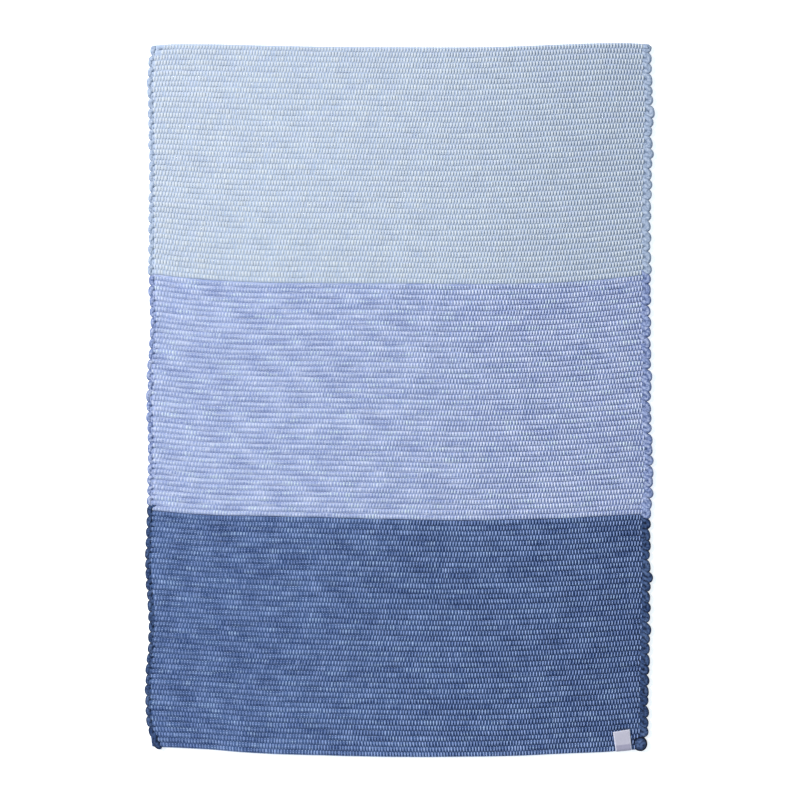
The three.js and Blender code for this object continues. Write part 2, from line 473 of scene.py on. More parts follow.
def dyed(red: int, green: int, blue: int) -> tuple[float, float, float, float]:
    """A shader's linear colour for yarn that shows as this screen colour, 0 to 255 a channel.

    The studio's light is a little brighter than white paper needs, so the colour is taken down
    by the same share.
    """
    shares = [channel / 255 for channel in (red, green, blue)]
    linear = [s / 12.92 if s <= 0.04045 else ((s + 0.055) / 1.055) ** 2.4 for s in shares]
    return (*(share / STUDIO_GAIN for share in linear), 1.0)


@dataclass(frozen=True)
class ThreadFinish:
    """The soft light warp thread, which takes on some of each band's blue."""

    word: str
    colour: tuple[int, int, int]
    shade: tuple[int, int, int]
    patch: tuple[int, int, int]
    patch_share: float
    own_share: float = 0.4
    row_share: float = 0.6
    veil_share: float = 0.3
    down_share: float = 0.42
    patch_pace: tuple[float, float] = (36.0, 125.0)
    twist_pace: tuple[float, float] = (2600.0, 5200.0)
    twist_depth: float = 0.00006

    def material(self) -> bpy.types.Material:
        """The warp thread's material.

        It takes on the shade of the row that it lies on, differs a little from float to float,
        and has here and there a run of floats in a third shade, a centimetre or two wide. It
        stands out less in the left half, where the weft's down veils it.
        """
        shader = Shader(f"cotton_warp_{self.word}")
        _, _, drawn = shader.weave()
        x, y = shader.place()
        own = shader.times(shader.stretch(drawn, 0.3, 1.1), self.own_share)
        veiled = shader.times(shader.stretch(x, 0.15, -0.35), self.veil_share)
        uneven = shader.plus(own, shader.times(shader.row_shade(), self.row_share))
        body = shader.mix(shader.plus(uneven, veiled), dyed(*self.colour), dyed(*self.shade))
        at = shader.vector(*shader.paced((x, y), self.patch_pace))
        patched = shader.times(shader.stretch(shader.noise(at), 0.52, 0.68), self.patch_share)
        body = shader.mix(patched, body, dyed(*self.patch))
        hidden = shader.times(shader.down(), self.down_share)
        shader.set("Base Color", shader.mix(hidden, body, dyed(*self.shade)))
        shader.set("Roughness", 0.85)
        shader.set("Specular IOR Level", 0.25)
        shader.set("Sheen Weight", 0.1)
        twist = shader.plus(*shader.paced((x, y), self.twist_pace))
        shader.bump(shader.math("SINE", twist), self.twist_depth)
        return shader.material


@dataclass(frozen=True)
class YarnFinish:
    """The thick soft weft yarn of one band, spun from lighter and darker cotton."""

    word: str
    colour: tuple[int, int, int]
    light: tuple[int, int, int]
    dark: tuple[int, int, int]
    # side: the painted shade of the yarn's flanks and underside, also the colour of its random dark
    # flecks
    side: tuple[int, int, int]
    light_share: float
    dark_share: float
    turn_light: float = 0.8
    painted_shade_share: float = 0.62
    down_share: float = 0.35
    light_pace: tuple[float, float] = (45.0, 2.6)
    strand_pace: tuple[float, float] = (170.0, 5.0)
    strand_depth: float = 0.0004

    def colour_nodes(self, shader: Shader) -> bpy.types.NodeSocket:
        """The yarn's colour: light strands some centimetres long, and the row's slow shade.

        Args:
            shader: the material that is being made.

        Returns:
            The colour.
        """
        along, row, _ = shader.weave()
        at = shader.vector(*shader.paced((along, row), self.light_pace), shader.row_shift(row))
        lighter = shader.stretch(shader.noise(at, 1.0, 3.0), 0.50, 0.74)
        lighter = shader.times(lighter, self.light_share)
        darker = shader.times(shader.row_shade(), self.dark_share)
        body = shader.mix(darker, dyed(*self.colour), dyed(*self.dark))
        return shader.mix(lighter, body, dyed(*self.light))

    def strand_height(self, shader: Shader) -> bpy.types.NodeSocket:
        """The relief of the yarn's strands, long along the row and fine across it."""
        along, row, _ = shader.weave()
        at = shader.vector(*shader.paced((along, row), self.strand_pace), 3.0)
        return shader.noise(at, 1.0, 3.0)

    def dress(self, shader: Shader) -> None:
        """The yarn's dull, slightly downy surface."""
        shader.set("Roughness", 0.92)
        shader.set("Specular IOR Level", 0.2)
        shader.set("Sheen Weight", 0.05)
        shader.set("Sheen Roughness", 0.5)

    def upper(self) -> bpy.types.Material:
        """The yarn as it shows in the cloth, with painted shade that darkens it a little towards the
        right, where it lies deeper.
        """
        shader = Shader(f"cotton_weft_{self.word}")
        x, _ = shader.place()
        # Painted shade: towards the right the yarn is mixed towards its dark colour, standing in for
        # the deeper shadow between the floats there.
        deep = shader.times(shader.stretch(x, -0.05, 0.4), self.painted_shade_share * self.dark_share)
        body = shader.mix(deep, self.colour_nodes(shader), dyed(*self.dark))
        downy = shader.times(shader.down(), self.down_share)
        shader.set("Base Color", shader.mix(downy, body, dyed(*self.light)))
        self.dress(shader)
        shader.bump(self.strand_height(shader), self.strand_depth)
        return shader.material

    def turned(self) -> bpy.types.Material:
        """The yarn of the side loops and loose ends: downy, with painted shade on its flanks and
        underside, where it turns under.
        """
        shader = Shader(f"cotton_turns_{self.word}")
        _, row, _ = shader.weave()
        # Painted shade: the lower part of each yarn's section, read from the row's fraction, is mixed
        # towards the side colour.
        upward = shader.stretch(shader.math("FRACT", row), 0.48, 1.06)
        down = shader.noise(shader.vector(*shader.place()), 330.0)
        fleck = shader.stretch(down, 0.24, 0.54)
        flecked = shader.mix(fleck, dyed(*self.side), self.colour_nodes(shader))
        bright = shader.times(shader.stretch(down, 0.50, 0.64), self.turn_light)
        lit = shader.mix(bright, flecked, dyed(*self.light))
        shader.set("Base Color", shader.mix(upward, dyed(*self.side), lit))
        self.dress(shader)
        shader.bump(self.strand_height(shader), self.strand_depth)
        return shader.material

    def underside(self, thread: ThreadFinish) -> bpy.types.Material:
        """The cloth from below, where each warp end crosses the rows that it dives under above.

        A point is on a thread where its row's number and its warp end add up to nearly an odd
        number, away from the line between two rows.

        Args:
            thread: the warp's finish.

        Returns:
            The material.
        """
        shader = Shader(f"cotton_underside_{self.word}")
        _, row, end = shader.weave()
        whole = shader.plus(shader.plus(end, shader.math("FLOOR", row)), 1.0)
        near_end = shader.math("COSINE", shader.times(whole, math.pi))
        within = shader.math("SINE", shader.times(shader.math("FRACT", row), math.pi))
        thread_here = shader.stretch(shader.times(near_end, within), 0.35, 0.65)
        weft = self.colour_nodes(shader)
        shader.set("Base Color", shader.mix(thread_here, weft, dyed(*thread.colour)))
        self.dress(shader)
        strands = shader.times(self.strand_height(shader), 0.4)
        shader.bump(shader.plus(thread_here, strands), 0.0006)
        return shader.material


@dataclass(frozen=True)
class TapeFinish:
    """The label's woven tape: fine cross ribs, paler edges and painted shade on its turned-down end."""

    colour: tuple[int, int, int] = (211, 203, 215)
    edge: tuple[int, int, int] = (231, 226, 237)
    # turned: the painted shade of the turned-down end, also the tint of the tape's cloudy patches
    turned: tuple[int, int, int] = (159, 152, 176)
    rib_pitch: float = 0.55 * MM
    warp_pitch: float = 0.42 * MM
    rib_depth: float = 0.00004

    def material(self, half_width: float, painted_shade_at: float) -> bpy.types.Material:
        """The tape's material, read from the place on the tape itself.

        Args:
            half_width: metres from the tape's middle line to its side.
            painted_shade_at: metres from the inner end to where the painted shade of the turned-down
                end begins.

        Returns:
            The material.
        """
        shader = Shader("label_tape")
        along, across, _ = shader.weave()
        off_middle = shader.math("ABSOLUTE", across)
        at_edge = shader.stretch(off_middle, 0.84 * half_width, 0.95 * half_width)
        cut_end = shader.stretch(along, 2.2 * MM, 0.6 * MM)
        pale = shader.math("MAXIMUM", at_edge, cut_end)
        # Painted shade: past this point the tape is mixed towards the turned colour, for the shade
        # where it turns down over the rug's edge.
        turned = shader.stretch(along, painted_shade_at - 1.0 * MM, painted_shade_at + 1.0 * MM)
        cloudy = shader.noise(shader.vector(along, across), 260.0)
        cloudy = shader.times(cloudy, 0.3)
        flat = shader.mix(cloudy, dyed(*self.colour), dyed(*self.turned))
        body = shader.mix(shader.times(turned, 0.8), flat, dyed(*self.turned))
        edged = shader.mix(shader.times(pale, 0.85), body, dyed(*self.edge))
        shader.set("Base Color", edged)
        shader.set("Roughness", 0.6)
        shader.set("Sheen Weight", 0.1)
        ribs = shader.math("SINE", shader.times(along, 2 * math.pi / self.rib_pitch))
        warps = shader.math("SINE", shader.times(across, 2 * math.pi / self.warp_pitch))
        shader.bump(shader.plus(ribs, shader.times(warps, 0.5)), self.rib_depth)
        return shader.material


# Each yarn's side colour is its painted shade where it turns under, and the colour of its dark flecks.
YARNS = {
    Band.PALE: YarnFinish(
        "pale",
        colour=(182, 195, 218),
        light=(206, 213, 226),
        dark=(163, 175, 201),
        side=(129, 142, 165),
        light_share=0.5,
        dark_share=0.4,
    ),
    Band.MID: YarnFinish(
        "mid",
        colour=(166, 179, 219),
        light=(206, 211, 234),
        dark=(126, 140, 188),
        side=(78, 93, 137),
        light_share=0.8,
        dark_share=0.7,
        turn_light=0.7,
    ),
    Band.DARK: YarnFinish(
        "dark",
        colour=(75, 99, 144),
        light=(112, 132, 172),
        dark=(36, 58, 103),
        side=(5, 12, 34),
        light_share=0.6,
        dark_share=0.75,
        turn_light=0.35,
    ),
}
THREADS = {
    Band.PALE: ThreadFinish("pale", (215, 219, 224), (201, 206, 215), (203, 209, 229), 0.6),
    Band.MID: ThreadFinish("mid", (223, 226, 245), (184, 193, 224), (217, 229, 236), 0.8),
    Band.DARK: ThreadFinish("dark", (162, 181, 225), (112, 133, 183), (172, 194, 225), 0.6),
}


@dataclass
class WeavePlan:
    """The lie of every weft row and warp end, from which all the pieces are worked out.

    line_x and line_y hold, in metres, the point where each line between two weft rows crosses
    each warp end.
    """

    centre_x: float = 0.24 * MM
    loop_depth: BySide = BySide(8.6 * MM, 12.4 * MM)
    row_wander: float = 0.38 * MM
    end_wander: float = 0.35 * MM
    row_push: float = 0.25 * MM
    rib_top: float = 7.0 * MM
    valley_left: tuple = (1.15 * MM, 2.4 * MM, 2.5 * MM)
    valley_right: tuple = (1.3 * MM, 2.7 * MM, 3.1 * MM)
    valley_uneven: float = 0.5
    edge_height: float = 3.2 * MM
    gap_sunk: float = 1.15 * MM
    slack_left: tuple = (0.4, 0.52, 0.54)
    slack_right: tuple = (1.12, 1.75, 2.4)
    slack_curve: tuple = (2.2, 2.2, 1.8)
    seed: int = 20
    line_x: np.ndarray = field(init=False)
    line_y: np.ndarray = field(init=False)

    def __post_init__(self) -> None:
        """Lays the warp ends between the two grooves, and the rows over them."""
        row = np.arange(ROWS + 1)[:, None] * np.ones((1, ENDS))
        share = (np.arange(ENDS) + 0.5) / ENDS
        middle_y = self.weave_y(np.zeros(ROWS + 1), np.arange(ROWS + 1))
        left = -self.groove(Side.LEFT, middle_y)[:, None]
        right = self.groove(Side.RIGHT, middle_y)[:, None]
        x = left + (right - left) * share + self.wander(row, share * 40.0, self.end_wander, 0.35)
        y = self.weave_y(x, row) + self.wander(x / 0.05, row * 1.7, self.row_wander, 1.0)
        pushed = np.where((row + np.arange(ENDS)) % 2 == 0, -1.0, 1.0) * self.row_push
        pushed[[0, -1]] = 0.0
        self.line_x = x + self.centre_x
        self.line_y = y + pushed

    def wander(self, along: np.ndarray, strand: np.ndarray, size: float, pace: float) -> np.ndarray:
        """A slow unevenness: four sine waves along a strand, shifted from strand to strand.

        Args:
            along: the place along the strand.
            strand: the strand's number, which moves the waves' phases.
            size: about how far it strays.
            pace: how quickly the waves follow each other.

        Returns:
            How far each point strays.
        """
        draw = np.random.default_rng(self.seed)
        total = np.zeros(np.broadcast(along, strand).shape)
        for _ in range(4):
            turn, shift, phase = draw.uniform([0.5, 1.3, 0.0], [1.6, 4.1, 6.28])
            total = total + np.sin(pace * turn * along + shift * strand + phase)
        return size * total / 2.8

    def weave_y(self, x: np.ndarray, row: np.ndarray) -> np.ndarray:
        """The Y of a point at x across the rug and a number of rows below the pale end.

        Each change of colour and each end is a smooth curve across the rug, and the rows of a
        band divide the way between its two curves evenly.

        Args:
            x: metres across the rug.
            row: rows from the pale end.

        Returns:
            Y in metres.
        """
        x_mm = np.asarray(x, float) / MM + 0 * np.asarray(row, float)
        lines = [on_curve(x_mm, WEFT_LINES[:, 0], WEFT_LINES[:, k]) for k in (1, 2, 3, 4)]
        row = np.asarray(row, float) + 0 * x_mm
        band = band_number(row)
        share = (row - BAND_STARTS[band]) / (BAND_STARTS[band + 1] - BAND_STARTS[band])
        start = np.choose(band, lines[:3])
        end = np.choose(band, lines[1:])
        return (start + (end - start) * share) * MM

    def reach(self, side: Side, y: np.ndarray) -> np.ndarray:
        """How far out a side's loops reach at y, from the rug's middle line."""
        column = 1 if side is Side.LEFT else 2
        return on_curve(np.asarray(y) / MM, SIDE_REACH[:, 0], SIDE_REACH[:, column]) * MM

    def groove(self, side: Side, y: np.ndarray) -> np.ndarray:
        """How far out the groove between the body and the loops lies at y."""
        return self.reach(side, y) - self.loop_depth[side]

    def at(self, row: np.ndarray, end: np.ndarray) -> tuple[np.ndarray, np.ndarray]:
        """X and Y of a point of the weave, on straight lines between the crossings.

        Args:
            row: rows from the pale end, with fractions.
            end: warp ends from the left edge, whole numbers.

        Returns:
            X and Y in metres.
        """
        upper = np.clip(np.floor(row).astype(int), 0, ROWS - 1)
        share = row - upper
        x = (1 - share) * self.line_x[upper, end] + share * self.line_x[upper + 1, end]
        y = (1 - share) * self.line_y[upper, end] + share * self.line_y[upper + 1, end]
        return x, y

    def relief(self, row: np.ndarray, end: np.ndarray) -> np.ndarray:
        """How strongly the warp stands out of the weft: more and more towards the right."""
        band = band_number(row)
        left, right = np.array(self.slack_left)[band], np.array(self.slack_right)[band]
        return left + (right - left) * (end / (ENDS - 1)) ** np.array(self.slack_curve)[band]

    def height(self, row: np.ndarray, end: np.ndarray) -> np.ndarray:
        """The height of the weft's upper face.

        Each row is a rounded rib: a power of half a sine wave from valley to valley, cut off flat
        above the rib's outer lines. It is lower where the warp thread passes below it.
        The valleys are of uneven depth, and deeper in the two darker bands. The outer side of
        the first and the last row comes down to the edge.

        Args:
            row: rows from the pale end, with fractions.
            end: warp ends from the left edge, whole numbers.

        Returns:
            Z in metres.
        """
        number = np.clip(np.floor(row - 1e-9).astype(int), 0, ROWS - 1)
        within = np.clip(row - number, 0.0, 1.0)
        threaded = (number + end) % 2 == 0
        relief = self.relief(number, end)
        uneven = 1 + self.wander(end * 0.24, np.round(row) * 2.1, self.valley_uneven, 1.0)
        band = band_number(number)
        left, right = np.array(self.valley_left)[band], np.array(self.valley_right)[band]
        valley = (left + (right - left) * end / (ENDS - 1)) * uneven
        sunk = np.where(threaded, 0.0, self.gap_sunk) * relief
        z = self.rib_top - valley + (valley - sunk) * rib(within)
        from_end = np.minimum(row, ROWS - row)
        outer = smooth_step(from_end, -0.05, 0.22) ** 0.5
        return self.edge_height + (z - self.edge_height) * np.where(from_end < 0.22, outer, 1.0)


@dataclass
class WeftBand:
    """One band of weft rows: a ribbed slab with a rounded rim and a finely ribbed underside.

    side_lie holds the slab's lie under the side loops: how far out from the groove, and how
    high, in millimetres.
    """

    plan: WeavePlan
    band: Band
    side_lie: dict = field(
        default_factory=lambda: {
            Side.LEFT: ((0.5, 5.0), (2.3, 6.3), (3.6, 2.4)),
            Side.RIGHT: ((0.8, 5.7), (4.6, 4.3), (7.2, 2.2)),
        }
    )
    side_rib: float = 0.5 * MM
    foot_in: float = 1.4 * MM
    under_rib: float = 0.7 * MM
    band_gap: float = 0.05 * MM
    row_height: float = 7.4 * MM
    end_apart: float = 2.14 * MM
    row_steps: tuple = (0.0, 0.28, 0.72)
    edge_step: float = 0.07
    ends_per_step: int = 4

    def row_lines(self) -> np.ndarray:
        """The row coordinate of each line of points: three to a weft row, one more at an edge."""
        numbers = self.band.first + np.arange(self.band.rows + 1)
        lines = (numbers[:-1, None] + np.array(self.row_steps)).ravel()
        edges = [self.edge_step, ROWS - self.edge_step]
        edges = [line for line in edges if lines[0] < line < numbers[-1]]
        return np.sort(np.concatenate([lines, edges, numbers[-1:]]))

    def side_point(self, side: Side, row: np.ndarray, outward: float) -> tuple[np.ndarray, np.ndarray]:
        """X and Y beside the outermost warp end, at a distance outward from the groove.

        Args:
            side: left or right.
            row: rows from the pale end.
            outward: metres outward from the groove.

        Returns:
            X and Y in metres.
        """
        near_x, near_y = self.plan.at(row, np.full(row.shape, EDGE_END[side]))
        x = side.value * (self.plan.groove(side, near_y) + outward)
        rise = self.plan.weave_y(x, row) - self.plan.weave_y(near_x - self.plan.centre_x, row)
        return x + self.plan.centre_x, near_y + rise

    def side_column(self, side: Side, row: np.ndarray, outward: float, z: np.ndarray) -> np.ndarray:
        """One column of points beside the body, and their places in the weave.

        Args:
            side: left or right.
            row: rows from the pale end.
            outward: metres outward from the groove.
            z: the points' heights.

        Returns:
            An array of lines by 6: X, Y, Z and the three numbers of the place.
        """
        x, y = self.side_point(side, row, outward)
        end = EDGE_END[side] + side.value * outward / self.end_apart
        return np.stack([x, y, z, x, row, np.full(row.shape, end)], axis=1)

    def upper_face(self) -> np.ndarray:
        """The upper face: a column for each warp end, and three at each side under the loops.

        Returns:
            An array of lines by columns by 6: X, Y, Z and the place in the weave.
        """
        row = self.row_lines()
        rows, ends = np.meshgrid(row, np.arange(ENDS), indexing="ij")
        x, y = self.plan.at(rows, ends)
        columns = [np.stack([x, y, self.plan.height(rows, ends), x, rows, ends], axis=2)]
        raised = self.side_rib * np.sin(np.pi * (row % 1.0))
        edge = self.plan.edge_height
        from_end = smooth_step(np.minimum(row, ROWS - row), 0.0, 0.5)
        for side in Side:
            for outward, height in self.side_lie[side]:
                z = edge + (height * MM + raised - edge) * from_end
                column = self.side_column(side, row, outward * MM, z)[:, None]
                columns = [column, *columns] if side is Side.LEFT else [*columns, column]
        return np.concatenate(columns, axis=1)

    def under_face(self) -> np.ndarray:
        """The underside, with the upper face's lines and a column for every few warp ends.

        Each row lies on the floor, and the line between two rows a little above it. The first
        and the last line are drawn in under the rim.

        Returns:
            An array of lines by columns by 6: X, Y, Z and the place in the weave.
        """
        inset = self.foot_in / self.row_height
        row = self.row_lines()
        row = row + inset * np.clip(1 - row, 0.0, 1.0) - inset * np.clip(1 - ROWS + row, 0.0, 1.0)
        rows, ends = np.meshgrid(row, np.arange(0, ENDS, self.ends_per_step), indexing="ij")
        x, y = self.plan.at(rows, ends)
        z = self.under_rib * (1 - rib(rows))
        body = np.stack([x, y, z, x, rows, ends], axis=2)
        beside = []
        for side in Side:
            outward = self.side_lie[side][-1][0] * MM - self.foot_in
            beside.append(self.side_column(side, row, outward, z[:, 0])[:, None])
        return np.concatenate([beside[0], body, beside[1]], axis=1)

    def walls(self, upper: np.ndarray, under: np.ndarray) -> list[np.ndarray]:
        """The rim between the upper face and the coarser underside.

        Down the sides, each point of the upper face has one of the underside below it. Along
        the ends, five points meet two, and at the corners four meet two.

        Args:
            upper: the numbers of the upper face's points, lines by columns.
            under: the same for the underside.

        Returns:
            Arrays of polygons, facing outward.
        """
        left = [upper[1:, 0], upper[:-1, 0], under[:-1, 0], under[1:, 0]]
        right = [upper[:-1, -1], upper[1:, -1], under[1:, -1], under[:-1, -1]]
        n = self.ends_per_step
        beside = len(self.side_lie[Side.LEFT])
        below = 1 + np.arange(under.shape[1] - 3)
        start = beside + n * (below - 1)
        first = [upper[0, start + k] for k in range(n + 1)] + [under[0, below + 1], under[0, below]]
        last = [upper[-1, start + k] for k in range(n, -1, -1)]
        last += [under[-1, below], under[-1, below + 1]]
        corners = [
            [*upper[0, : beside + 1], under[0, 1], under[0, 0]],
            [*upper[0, -beside - 1 :], under[0, -1], under[0, -2]],
            [*upper[-1, beside::-1], under[-1, 0], under[-1, 1]],
            [*upper[-1, : -beside - 2 : -1], under[-1, -2], under[-1, -1]],
        ]
        pairs = [(left, right), (first, last)]
        groups = [np.concatenate([np.stack(one, axis=1), np.stack(two, axis=1)]) for one, two in pairs]
        return [*groups, np.array(corners)]

    def build(self) -> bpy.types.Object:
        """Joins the two faces into one closed slab and places it."""
        faces = [self.upper_face(), self.under_face()]
        for face in faces:
            if self.band is not Band.PALE:
                face[0, :, 1] -= self.band_gap
            if self.band is not Band.DARK:
                face[-1, :, 1] += self.band_gap
        (lines, width), (under_lines, under_width) = faces[0].shape[:2], faces[1].shape[:2]
        count = lines * width
        upper = np.arange(count).reshape(lines, width)
        under = count + np.arange(under_lines * under_width).reshape(under_lines, under_width)
        top = grid_faces(lines, width)
        bottom = grid_faces(under_lines, under_width, count)[:, ::-1]
        points = np.concatenate([face.reshape(-1, 6) for face in faces])
        polygons = [top, *self.walls(upper, under), bottom]
        mesh = polygon_mesh(f"weft_{self.band.word}", points[:, :3], polygons)
        weave_attribute(mesh, points[:, 3:])
        number = np.zeros(len(mesh.polygons), np.int32)
        number[-len(bottom):] = 1
        mesh.polygons.foreach_set("material_index", number)
        yarn = YARNS[self.band]
        finishes = [yarn.upper(), yarn.underside(THREADS[self.band])]
        piece = place_piece(mesh, finishes)
        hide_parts(RUG_NODE)
        return piece


@dataclass
class WarpFloats:
    """The warp thread where it shows: a short raised float over every second row.

    half_width holds the floats' half width in millimetres at the left and at the right side,
    and length their length there in rows.
    The pale end's left corner has no floats, under the loose end of weft.
    """

    plan: WeavePlan
    band: Band
    half_width: dict = field(
        default_factory=lambda: {Band.PALE: (1.85, 1.27), Band.MID: (1.5, 1.1), Band.DARK: (1.3, 0.88)}
    )
    length: dict = field(
        default_factory=lambda: {Band.PALE: (1.16, 1.2), Band.MID: (1.08, 1.2), Band.DARK: (1.08, 1.18)}
    )
    bare_rows: int = 2
    bare_ends: int = 5
    rise: float = 0.62 * MM
    sunk: float = 0.30 * MM
    dive: float = 0.5 * MM
    stray: float = 0.12 * MM
    lean: float = 0.24 * MM
    bow: float = 0.16 * MM
    uneven: float = 0.13
    round_end: float = 0.5 * MM
    seed: int = 31

    def build(self) -> bpy.types.Object:
        """Works out every float at once, three rings and two tips each, as one piece.

        The tips lie in the valleys beside the float's row. The rings between have a section of
        four points, a flat-topped arch that is a little sunk in the weft.
        """
        draw = np.random.default_rng(self.seed + self.band.first)
        numbers = self.band.first + np.arange(self.band.rows)
        rows, ends = np.meshgrid(numbers, np.arange(ENDS), indexing="ij")
        bare = (rows < self.bare_rows) & (ends < self.bare_ends)
        over = ((rows + ends) % 2 == 0) & ~bare
        row, end = rows[over][:, None], ends[over][:, None]
        strands = len(row)
        share = end / (ENDS - 1)
        left, right = self.length[self.band]
        within = 0.5 + np.array([-0.5, -0.34, 0.0, 0.34, 0.5]) * (left + (right - left) * share)
        place = np.clip(row + within, 0.0, ROWS)
        x, y = self.plan.at(place, np.broadcast_to(end, place.shape))
        z = self.plan.height(place, end)
        z[:, [0, -1]] -= self.dive
        y[row[:, 0] == 0, 0] += self.round_end
        y[row[:, 0] == ROWS - 1, -1] -= self.round_end
        jitter, lean, bow, thick = draw.standard_normal((4, strands, 1))
        lean = self.plan.wander(x[:, :1] / 0.06, row * 2.6, 1.2, 1.0) + 0.3 * lean + 0.6 * share - 0.1
        calm = 1 - 0.55 * share * (self.band is Band.PALE)
        x = x + calm * (self.stray * jitter + self.lean * lean * (1 - 2 * within))
        x = x + calm * self.bow * bow * (1 - (2 * within - 1) ** 2)
        tips = np.stack([x, y, z], axis=2)[:, [0, -1]]
        left, right = self.half_width[self.band]
        width = (left + (right - left) * share) * MM * (1 + self.uneven * (1.3 - 0.6 * share) * thick)
        width = width * np.array([0.92, 1.0, 0.92])
        rise = self.rise * np.minimum(self.plan.relief(row, end), 1.2) * np.array([0.8, 1.0, 0.8])
        aside = np.array([-1.0, -0.6, 0.6, 1.0])
        above = np.array([0.0, 1.0, 1.0, 0.0])
        point_x = x[:, 1:-1, None] + width[..., None] * aside
        point_y = y[:, 1:-1, None] + 0 * point_x
        point_z = z[:, 1:-1, None] + rise[..., None] * above - self.sunk * (1 - above)
        rings = np.stack([point_x, point_y, point_z], axis=3).reshape(strands, 12, 3)
        points = np.concatenate([tips[:, :1], rings, tips[:, 1:]], axis=1).reshape(-1, 3)
        mesh = polygon_mesh(f"warp_{self.band.word}", points, self.faces(strands))
        place = np.broadcast_arrays(x[:, 2:3], row + 0.5, draw.random((strands, 1)), np.zeros(14))
        weave_attribute(mesh, np.stack(place[:3], axis=2).reshape(-1, 3))
        return place_piece(mesh, [THREADS[self.band].material()])

    def faces(self, strands: int) -> list[np.ndarray]:
        """The faces of floats of 14 points each: the two fans at the tips, and the sides."""
        here = np.arange(4)
        there = (here + 1) % 4
        first = np.stack([0 * here, 1 + here, 1 + there], axis=1)
        last = np.stack([0 * here + 13, 9 + there, 9 + here], axis=1)
        ring = 1 + np.array([[0], [4]])
        start, end = (ring + here).ravel(), (ring + there).ravel()
        side = np.stack([start, end, end + 4, start + 4], axis=1)[:, ::-1]
        offset = np.arange(strands)[:, None, None] * 14
        fans = np.concatenate([first, last])
        return [(offset + fans).reshape(-1, 3), (offset + side).reshape(-1, 4)]


